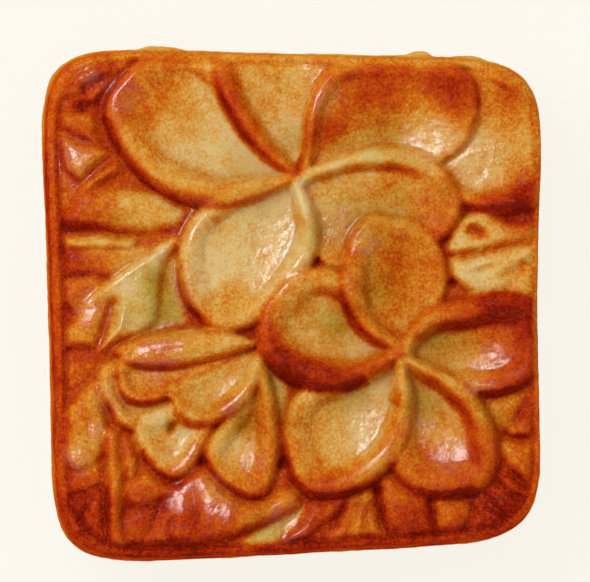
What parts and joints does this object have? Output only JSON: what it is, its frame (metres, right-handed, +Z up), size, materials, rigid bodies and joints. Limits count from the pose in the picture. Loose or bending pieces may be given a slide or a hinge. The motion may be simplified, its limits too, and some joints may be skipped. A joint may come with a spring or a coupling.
{
  "type": "mooncake",
  "caption": "Square baked mooncake with bulging sides and a moulded top of overlapping rolled-edge flowers over leaves, resting on its flat underside.",
  "frame": {"origin": "centre of the bounding box at the flat underside", "axes": "+Z up out of the moulded top, +Y towards the side that the upper flower is nearest to, +X to the right seen from above"},
  "size_m": [0.0776, 0.0796, 0.0328],
  "materials": {
    "baked_crust": null
  },
  "bodies": {
    "root": {"mooncake": "baked_crust"}
  },
  "joints": []
}
